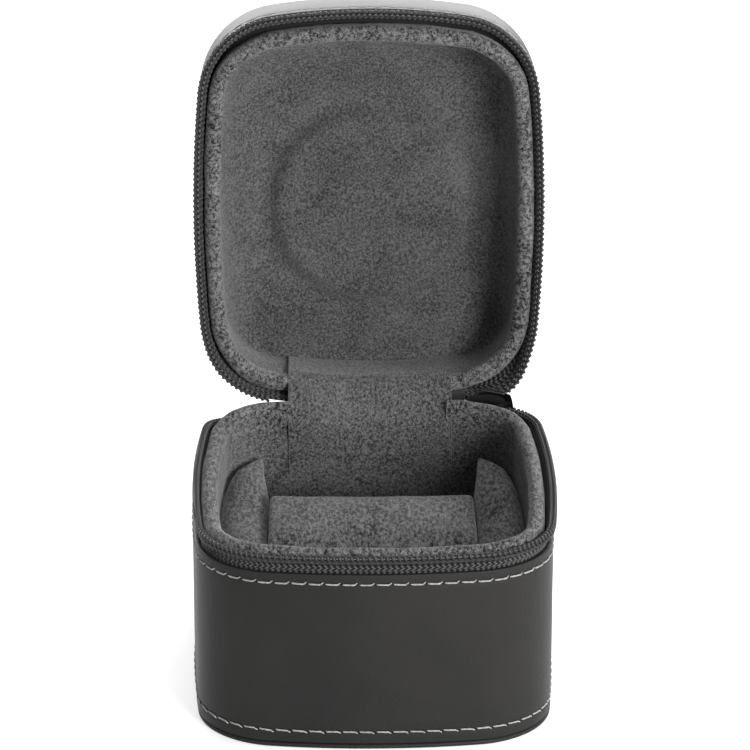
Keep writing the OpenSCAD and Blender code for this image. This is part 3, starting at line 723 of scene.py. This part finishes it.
def makeCoilRow(name, body, thread, low, radius, within, bead=0.0, p=zipPiece):
    # a row of sewing or core: low is its place down the coil, within how far it lies behind the coil's middle
    lid, half = body == "lid", p[body]
    turns, along = coilRun(half["phase"] + .25)
    points, radii = [], []
    for k in range(turns * 6):
        wave = 2 * math.pi * k / 6
        z = p["coilTop"] - p["coilHeight"] * low + .1 * math.sin(wave)
        deep = zipInset(z, half) + within + .09 * (1 - math.cos(wave)) * math.copysign(1, -within)
        points.append(bendZip(onOutline(turnAt(along(k / 6)), deep, z), body))
        radii.append(1 + bead * math.cos(wave))
    bm = tubeAlong(points, radius * mm, radii)
    return finishPiece(name, bm, thread, body, (), sharp=80, lid=lid, over=lid)


for make in (makeTape, makeCoil):
    for body in ("base", "lid"):
        make(body)
behindTape = zipPiece["coilOut"] + zipPiece["tapeThick"] + .04
coilRows = {"Core": (coilNylon, .32, .38, 0), "CoreLow": (coilNylon, .68, .38, 0),
            "Sewing": (darkThread, .53, .21, -.56), "Backing": (coilNylon, .42, .26, behindTape, .4),
            "BackSewing": (tapeThread, 1.08, .15, behindTape, .5)}
for body in ("base", "lid"):
    for rowName, row in coilRows.items():
        makeCoilRow(body + "Coil" + rowName, body, *row)
print("zip laid")


# ---- suede lining

# spans of turn as for the zip: where the rear's pull, the rear's rise and the front's tuck end or begin
liningPiece = {"wallIn": 6.2, "thick": 2.6, "floor": 3.6, "padHigh": 1.8, "padRound": .6, "stripWidth": 42.7,
               "lipIn": 2.2, "lipWidth": 4.1, "lipHeight": 5.85, "gap": .3,
               "rearPull": .6, "leftPulled": (25, 40), "rightPulled": (7, 9),
               "rearRise": {"base": 1.2, "lid": -.9}, "riseUntil": (45, 40),
               "frontTuck": {"base": 0, "lid": 1.45}, "tuckFrom": (95, 60)}
ceilingPiece = {"high": 73.8, "sideRound": 13, "straight": .3, "steep": 1.22, "rearRound": 1.2,
                "rearUntil": (24, 50), "disc": 25, "discY": 3.0, "discRise": 2.7, "groove": 5.5, "puff": 1.2}
lipTop = caseShape["rim"] - liningPiece["gap"] / 2
lipFoot = lipTop - liningPiece["lipHeight"]
rearRadius = fullRing[0][2] - liningPiece["wallIn"]
stripTurn = math.degrees(math.asin((liningPiece["stripWidth"] / 2 - 1.5) / rearRadius))


def pullOut(bm, rise=0, tuck=0, over=False, p=liningPiece):  # the rear stretch is pulled out towards the fold
    for v in bm.verts:
        near, right, turn = fromRear(v.co)
        high = (2 * caseShape["rim"] - v.co.z / mm if over else v.co.z / mm) - lipFoot
        rear = 1 - past(near, p["rightPulled" if right else "leftPulled"])
        lift = rise * ease(high / p["lipHeight"]) * (1 - past(near, p["riseUntil"]))
        pull = p["rearPull"] * rear * ease(high / 5 + 1) - tuck * past(near, p["tuckFrom"])
        v.co += (outwards(turn) * pull + Vector((0, 0, lift))) * mm


def makeLip(body, p=liningPiece):
    lid, edge, r = body == "lid", p["lipIn"], p["lipWidth"] / 2
    profile = [(edge + .1, lipFoot)] + bend(edge + r, lipTop - r, r, 0, 180, 14)
    profile += [(edge + 2 * r + .05, lipTop - r - 1.6), (edge + 2 * r - .1, lipFoot + .1)]
    bm = sweep(subdivided(profile, .8), 90 + stripTurn, 450 - stripTurn, closed=True, bowStep=.35)
    pullOut(bm, p["rearRise"][body], p["frontTuck"][body])
    soften(bm, .22, 9, 3 if lid else 1)
    soften(bm, .10, 3, 8 if lid else 6)
    unwrapRound(bm)
    lip = finishPiece(body + "Lip", bm, rolledSuede, body, [body + "_rim_roll"], sharp=75,
                      lid=lid, over=lid)
    return lip


def makeBaseLining(p=liningPiece):
    inner, outer = p["wallIn"], p["wallIn"] - p["thick"]
    profile = subdivided([(inner, p["floor"]), (inner, lipFoot + .05)], 1.2)[::-1]
    bm = sweep([(outer, lipFoot - .1)] + profile + [(outer, p["floor"])], closed=True)
    pullOut(bm)
    soften(bm, .15, 12, 2)
    unwrapRound(bm)
    return finishPiece("baseLining", bm, liningSuede, "base", ["base_lining"])


def makeFloorPad(p=liningPiece):
    top, r = p["floor"] + p["padHigh"], p["padRound"]
    edge = bend(p["wallIn"] + .7, top - r, r, 0, 90, 5)
    bm = sweep([(p["wallIn"] + .1, p["floor"])] + edge + [(12, top), (16, top)])
    closeEnds(bm)
    unwrapRound(bm)
    pad = finishPiece("floorPad", bm, liningSuede, "base", ["base_floor_pad"])
    return pad


def makeLidLining(p=ceilingPiece):
    foot = 2 * caseShape["rim"] - lipFoot
    wallIn, top, r = liningPiece["wallIn"], p["high"], p["sideRound"]
    wall = subdivided([(wallIn, foot - .2), (wallIn, top - r)], 1.2)
    bm = sweep([(wallIn - 2, foot)] + wall + bend(wallIn + r, top - r, r, 0, 90, 12)[1:])
    for v in bm.verts:  # the round into the ceiling is tight over the rear wall
        run = min(distanceOf(v.co), girth)
        turn = turnAt(run)
        rear = 1 - past(min(run, girth - run), p["rearUntil"])
        local = lerp(r, p["rearRound"], rear)
        inset = wallIn + local
        if v.co.z / mm > top - r + .01:
            a = math.asin(min(1, (v.co.z / mm - (top - r)) / r))
            even = a / (math.pi / 2)
            back = lerp(math.cos(a), 1 - even, p["straight"])
            rise = lerp(math.sin(a), even, p["straight"])
            v.co = onOutline(turn, inset - local * back, top - local * p["steep"] * (1 - rise))
        elif v.co.z / mm > foot + .1:
            v.co.z = lerp(foot, top - local * p["steep"], (v.co.z / mm - foot) / (top - r - foot)) * mm
    pullOut(bm, over=True)
    rimAt = lambda far: min(far - .3 * mm, (p["disc"] + p["groove"]) * mm)
    inner = (p["disc"] - 4) * mm
    shrink = [lambda far, f=k / 8: lerp(far, rimAt(far), f) for k in range(1, 9)]
    shrink += [lambda far, f=k / 14: lerp(rimAt(far), inner, f) for k in range(1, 15)]
    shrink += [lambda far, f=k / 14: lerp(inner, .4 * mm, f) for k in range(1, 15)]
    fillInward(bm, Vector((0, p["discY"], top)) * mm, shrink)
    for v in bm.verts:  # the soft disc swells out of the ceiling
        far = (Vector((v.co.x, v.co.y, 0)) - Vector((0, p["discY"] * mm, 0))).length / mm
        high = max(0, 1 - (top - v.co.z / mm) / 5)
        v.co.z -= p["discRise"] * mm * (1 - ease((far - p["disc"] + 2) / 5)) if high > .8 else 0
        v.co.z -= p["puff"] * mm * high * ease((far - p["disc"] - 3.2) / 5)
    soften(bm, .25, 13, 4)
    unwrapRound(bm)
    faceOutwards(bm)
    bmesh.ops.reverse_faces(bm, faces=bm.faces)  # its good side looks into the lid
    bm.normal_update()
    if sum(f.normal.z for f in bm.faces if f.calc_center_median().z > (top - 3) * mm) > 0:
        bmesh.ops.reverse_faces(bm, faces=bm.faces)
    lining = finishPiece("lidLining", bm, ceilingSuede, "lid", ["lid_lining", "lid_ceiling_disc"],
                         sharp=60, lid=True)
    return lining


makeLip("base")
makeLip("lid")
makeBaseLining()
makeFloorPad()
makeLidLining()
print("lining fitted")


# ---- hinge

hingePiece = {"stripThick": .8, "stripLow": 33.5, "stripHigh": 72.2, "stripPull": 4,
              "spineThick": .8, "spineSleeve": 6, "spinePull": 2.9}


def bezier(a, b, c, d, t):
    return a * (1 - t) ** 3 + b * 3 * t * (1 - t) ** 2 + c * 3 * t * t * (1 - t) + d * t ** 3


def foldPoint(path, turn, t):  # t runs 0..1 up the base, 1..2 round the fold, 2..3 along the lid
    inset, lows, highs, pull = path
    spot = onOutline(turn, inset, 0) / mm
    base = lambda z: Vector((spot.x, spot.y, z))
    lid = lambda z: swung(spot.x, spot.y, z)
    if t <= 1:
        return base(lerp(lows[0], lows[1], t)) * mm
    if t >= 2:
        return lid(lerp(highs[0], highs[1], t - 2)) * mm
    return bezier(base(lows[1]), base(lows[1] + pull), lid(highs[0] - pull), lid(highs[0]), t - 1) * mm


def makeFold(name, node, material, half, path, thick, columns=28, rows=36):
    bm = bmesh.new()
    bmesh.ops.create_grid(bm, x_segments=columns, y_segments=rows, size=1)
    uv = bm.loops.layers.uv.new("UVMap")
    for face in bm.faces:
        for loop in face.loops:
            loop[uv].uv = (loop.vert.co.x * .02, loop.vert.co.y * .02)
    for v in bm.verts:
        v.co = foldPoint(path, lerp(90 - half, 90 + half, (v.co.x + 1) / 2), (v.co.y + 1) * 1.5)
    faceOutwards(bm)
    bm.normal_update()
    if sum((f.normal.y for f in bm.faces)) < 0:  # the outside faces backwards
        bmesh.ops.reverse_faces(bm, faces=bm.faces)
    bmesh.ops.solidify(bm, geom=bm.faces, thickness=thick * mm)
    faceOutwards(bm)
    sheet = finishPiece(name, bm, material, None, [node], sharp=50)
    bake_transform(sheet, "base", "lid", start=foldPoint(path, 90, 1.05), end=foldPoint(path, 90, 1.95))
    return sheet


halfStrip = math.degrees(math.asin(liningPiece["stripWidth"] / 2 / rearRadius))
stripPath = (liningPiece["wallIn"] - .45, (hingePiece["stripLow"], lipFoot),
             (2 * caseShape["rim"] - lipFoot, hingePiece["stripHigh"]), hingePiece["stripPull"])
makeFold("hingeStrip", "hinge_strip", liningSuede, halfStrip, stripPath,
         hingePiece["stripThick"])
print("hinge folded")


# ---- padded pieces

paddedPieces = {"voxel": 1.5, "shrink": 1.0, "pressure": 4.5, "stiffness": 18, "quality": 6, "frames": 20,
                "scale": 10, "lumps": .12, "lumpSize": 7}


def applyModifiers(obj):
    bpy.context.view_layer.update()
    mesh = bpy.data.meshes.new_from_object(obj.evaluated_get(bpy.context.evaluated_depsgraph_get()))
    obj.modifiers.clear()
    obj.data = mesh


def solidOf(node):  # a merged copy of a plain solid, to start a pad from
    bm = bmesh.new()
    bm.from_mesh(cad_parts[node].data)
    bmesh.ops.remove_doubles(bm, verts=bm.verts, dist=1e-6)
    return bm


def swellSkin(name, bm, material, body, nodes, held, cap, p=paddedPieces):
    # a cloth skin round the padding, blown up at ten times the size so that cloth behaves
    bm.normal_update()
    for v in bm.verts:
        v.co -= v.normal * p["shrink"] * mm
    bmesh.ops.scale(bm, verts=bm.verts, vec=(p["scale"],) * 3)
    mesh = bpy.data.meshes.new(name)
    bm.to_mesh(mesh)
    bm.free()
    skin = bpy.data.objects.new(name, mesh)
    scene.collection.objects.link(skin)
    remesh = skin.modifiers.new("remesh", "REMESH")
    remesh.mode, remesh.voxel_size = "VOXEL", p["voxel"] * mm * p["scale"]
    applyModifiers(skin)
    start = [v.co.copy() for v in skin.data.vertices]
    pins = skin.vertex_groups.new(name="held")
    for k, co in enumerate(start):
        weight = held(co / p["scale"] / mm)
        if weight > 0:
            pins.add([k], weight, "ADD")
    cloth = skin.modifiers.new("cloth", "CLOTH")
    cloth.settings.use_pressure, cloth.settings.uniform_pressure_force = True, p["pressure"]
    cloth.settings.vertex_group_mass = "held"
    cloth.settings.effector_weights.gravity = 0
    cloth.settings.tension_stiffness = cloth.settings.compression_stiffness = p["stiffness"]
    cloth.settings.quality = p["quality"]
    cloth.point_cache.frame_end = p["frames"]
    for frameNumber in range(1, p["frames"] + 1):
        scene.frame_set(frameNumber)
    applyModifiers(skin)
    scene.frame_set(1)
    cap = cap * mm * p["scale"]
    for v, old in zip(skin.data.vertices, start):
        move = v.co - old
        v.co = (old + move.normalized() * min(move.length, cap)) / p["scale"]
    bm = bmesh.new()
    bm.from_mesh(skin.data)
    bpy.data.objects.remove(skin)
    bmesh.ops.smooth_vert(bm, verts=bm.verts, factor=.5, use_axis_x=True, use_axis_y=True, use_axis_z=True)
    bmesh.ops.subdivide_edges(bm, edges=bm.edges, cuts=1, use_grid_fill=True, smooth=.9)
    soften(bm, p["lumps"], p["lumpSize"], len(name))
    pad = finishPiece(name, bm, material, body, nodes, sharp=80)
    return pad


for side in ("left", "right"):  # held at the foot and at the pillow's ends
    node = "side_pad_" + side
    swellSkin("sidePad" + side.title(), solidOf(node), rolledSuede, "base", [node],
              lambda co: 1 if abs(co.x) < 28.6 and abs(co.y) > 36 or co.z < 9 else 0, cap=1.3)

pillowPiece = {"width": 53.9, "depth": 46, "top": 40.5, "low": 5.5, "round": 11, "footRound": 7.5,
               "endRound": 1.6}


def makePillow(p=pillowPiece):
    bm = bmesh.new()
    bmesh.ops.create_cube(bm, size=1)
    middle = (p["top"] + p["low"]) / 2
    tall = p["top"] - p["low"]
    for v in bm.verts:
        v.co = Vector((v.co.x * p["width"], v.co.y * p["depth"], v.co.z * tall + middle)) * mm
    for high, r in ((True, p["round"]), (False, p["footRound"])):
        edges = [e for e in bm.edges if abs(e.verts[0].co.x - e.verts[1].co.x) > mm
                 and (e.verts[0].co.z > middle * mm) == high]
        roundEdges(bm, edges, r * mm, 10)
    rings = [e for e in bm.edges if abs(e.verts[0].co.x - e.verts[1].co.x) < 1e-6
             and all(abs(abs(v.co.x) - p["width"] / 2 * mm) < 1e-6 for v in e.verts)]
    roundEdges(bm, rings, p["endRound"] * mm, 3)
    edgeX = p["width"] / 2 - 2.6
    return swellSkin("pillow", bm, pillowSuede, "pillow",
                     ["pillow_cover", "pillow_core", "pillow_end_left", "pillow_end_right"],
                     lambda co: 1 if abs(co.x) > edgeX and (abs(co.y) > 20 or co.z > 37.5 or co.z < 8) else 0,
                     cap=1.5)


makePillow()
print("pads and pillow stuffed")


# ---- slider

# plates: depth, thickness, length and shift along the zip; walls and post: place and size
sliderPiece = {"turn": 62, "half": 3.55, "tail": .62, "square": .62,
               "plates": ((-1.57, .9, 9.0, 0), (1.15, .75, 10.8, 1.2)),
               "blocks": ((0, -.55, 2.9, (6.2, 1.5, .6)), (0, -.55, -2.9, (6.2, 1.5, .6)),
                          (-3.1, .2, 0, (1.6, 2.9, 1.1))),
               "bailOut": 3.77, "bailWide": 5.8, "bailRadius": .5, "bailRound": .8}


def joinIn(bm, part):
    mesh = bpy.data.meshes.new("part")
    part.to_mesh(mesh)
    part.free()
    bm.from_mesh(mesh)
    bpy.data.meshes.remove(mesh)


def roundCorner(bm, verts, p=sliderPiece):  # x along the zip, y inwards, z up: laid round the corner
    for v in verts:
        a = math.radians(p["turn"]) + v.co.x / fullRing[7][2]
        r = fullRing[7][2] - v.co.y
        v.co = Vector((cornerX + r * math.cos(a), cornerY + r * math.sin(a), caseShape["rim"] + v.co.z)) * mm


def makeSlider(p=sliderPiece):
    bm = bmesh.new()
    full = math.sqrt(1 - p["square"] / 2)
    for depth, thick, length, along in p["plates"]:
        plate = bmesh.new()
        bmesh.ops.create_grid(plate, x_segments=26, y_segments=16, size=1)
        for v in plate.verts:  # a shield: broad where the halves part, narrow behind
            x, z = v.co.x, v.co.y
            x, z = x * math.sqrt(1 - p["square"] * z * z / 2), z * math.sqrt(1 - p["square"] * x * x / 2)
            z *= p["half"] / full * lerp(1, p["tail"], ease((x + 1) / 2))
            v.co = Vector((along + x * length / 2 / full, depth, z * .84))
        bmesh.ops.solidify(plate, geom=plate.faces, thickness=thick)
        side = sum(v.co.y for v in plate.verts) / len(plate.verts)
        bmesh.ops.translate(plate, verts=plate.verts, vec=(0, depth + thick / 2 - side, 0))
        bmesh.ops.recalc_face_normals(plate, faces=plate.faces)
        rim = [e for e in plate.edges if len(e.link_faces) == 2 and e.calc_face_angle() > .8]
        roundEdges(plate, rim, .22, 3)
        joinIn(bm, plate)
    for x, y, z, size in p["blocks"]:  # the turned-in edges, and the post between the plates
        block = bmesh.new()
        bmesh.ops.create_cube(block, size=1)
        bmesh.ops.scale(block, verts=block.verts, vec=size)
        bmesh.ops.translate(block, verts=block.verts, vec=(x, y, z))
        roundEdges(block, block.edges, .15, 2)
        lengthwise = [e for e in block.edges if abs(e.verts[0].co.x - e.verts[1].co.x) > 1]
        bmesh.ops.subdivide_edges(block, edges=lengthwise, cuts=5)
        joinIn(bm, block)
    roundCorner(bm, bm.verts)
    out, wide, r = p["bailOut"], p["bailWide"] / 2, p["bailRound"]
    angles = [math.radians(15 * k) for k in range(7)]
    path = [(1, -wide)] + [(out - r + r * math.sin(a), -wide + r - r * math.cos(a)) for a in angles]
    path += [(x, -y) for x, y in reversed(path)]
    place = Matrix.Translation(Vector((cornerX, cornerY, caseShape["rim"])) * mm)
    place = place @ Matrix.Rotation(math.radians(p["turn"]), 4, "Z")
    bail = [place @ (Vector((fullRing[7][2] + x, y, 0)) * mm) for x, y in path]
    joinIn(bm, tubeAlong(bail, p["bailRadius"] * mm, sides=3))
    return finishPiece("sliderBody", bm, sliderMetal, "slider", ["zip_slider"], sharp=40)


makeSlider()


# ---- rest of the hinge and the zip's end

foldTop, foldFoot = caseShape["rim"] + caseShape["band"], caseShape["leatherTop"]
spinePath = (caseShape["leather"] + .1, (foldFoot - hingePiece["spineSleeve"], foldFoot),
             (foldTop, foldTop + hingePiece["spineSleeve"]), hingePiece["spinePull"])
makeFold("hingeSpine", "hinge_spine", plainHide, zipEnd, spinePath, hingePiece["spineThick"])

makeStitches("lidCrownStitches", caseShape["lidTop"] + .1, "lid_crown_stitches", "lid", inset=8.3, flat=True)

for node, finish in (("base_shell", pressedBoard), ("lid_shell", pressedBoard), ("base_top_stop", coilNylon),
                     ("zip_bottom_stop", coilNylon), ("lid_top_stop", coilNylon), ("zip_tail", tapeWeave),
                     ("puller_ring", sliderMetal), ("puller_tab", sliderMetal)):
    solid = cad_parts[node]
    solid.data.materials.clear()
    solid.data.materials.append(finish)
print("hinge, slider and puller done")


# ---- floor, light and camera

studio = {"floor": .8, "floorGlow": .62, "background": 1.0, "fill": .08}
# place, aim and size in metres, and watts
lamps = {"keyLamp": ((.54, -.98, .36), (0, 0, .08), (.35, .35), 10.3),
         "sideLamp": ((1.1, -.3, .35), (0, 0, .05), (.4, .6), 3.5),
         "topLamp": ((.15, .05, 1.2), (0, 0, .05), (.5, .5), 4),
         "backLamp": ((-.1, 1.1, .45), (0, .06, .09), (1.4, .6), 15)}


def seenDirectly(tree):  # camera, glossy and transmission rays
    path = addNode(tree, "LightPath").outputs
    both = calc(tree, "MAXIMUM", path["Is Camera Ray"], path["Is Glossy Ray"])
    return calc(tree, "MAXIMUM", both, path["Is Transmission Ray"])


def makeFloor(p=studio):
    bm = bmesh.new()
    bmesh.ops.create_grid(bm, x_segments=1, y_segments=1, size=3)
    floor = finishPiece("floor", bm, bpy.data.materials.new("paleFloor"), None)
    material = floor.data.materials[0]
    material.use_nodes = True
    tree = material.node_tree
    shader = tree.nodes["Principled BSDF"]
    shader.inputs["Roughness"].default_value = .9
    shader.inputs["Base Color"].default_value = grey(p["floor"])
    tree.links.new(times(tree, seenDirectly(tree), p["floorGlow"]), shader.inputs["Emission Strength"])
    shader.inputs["Emission Color"].default_value = (1, 1, 1, 1)


def makeWorld(p=studio):
    world = bpy.data.worlds.new("studio")
    scene.world = world
    world.use_nodes = True
    tree = world.node_tree
    sky = tree.nodes["Background"]
    sky.inputs["Color"].default_value = (1, 1, 1, 1)
    seen = times(tree, seenDirectly(tree), p["background"] - p["fill"])
    tree.links.new(plus(tree, seen, p["fill"]), sky.inputs["Strength"])


def addLamp(name, place, aim, size, energy):
    lamp = bpy.data.lights.new(name, "AREA")
    lamp.shape, lamp.size, lamp.size_y, lamp.energy = "RECTANGLE", size[0], size[1], energy
    obj = bpy.data.objects.new(name, lamp)
    obj.location = place
    obj.rotation_euler = (Vector(aim) - Vector(place)).to_track_quat("-Z", "Y").to_euler()
    obj.visible_camera = False
    scene.collection.objects.link(obj)


view = {"elevation": 20.8, "turn": .82, "aim": (.65, 0, 77.6), "distance": 1000, "focalPixels": 4030,
        "frame": 750, "sensor": 36}


def makeCamera(p=view):
    e, t = math.radians(p["elevation"]), math.radians(p["turn"])
    back = Vector((-math.sin(t) * math.cos(e), -math.cos(t) * math.cos(e), math.sin(e)))
    lens = bpy.data.cameras.new("camera")
    lens.sensor_width, lens.lens = p["sensor"], p["sensor"] * p["focalPixels"] / p["frame"]
    lens.clip_start, lens.clip_end = .01, 20
    camera = bpy.data.objects.new("camera", lens)
    camera.location = (Vector(p["aim"]) + back * p["distance"]) * mm
    camera.rotation_euler = (-back).to_track_quat("-Z", "Y").to_euler()
    scene.collection.objects.link(camera)
    scene.camera = camera


makeFloor()
makeWorld()
for name, lamp in lamps.items():
    addLamp(name, *lamp)
makeCamera()
scene.view_settings.view_transform = "Standard"
print("floor, light and camera set")
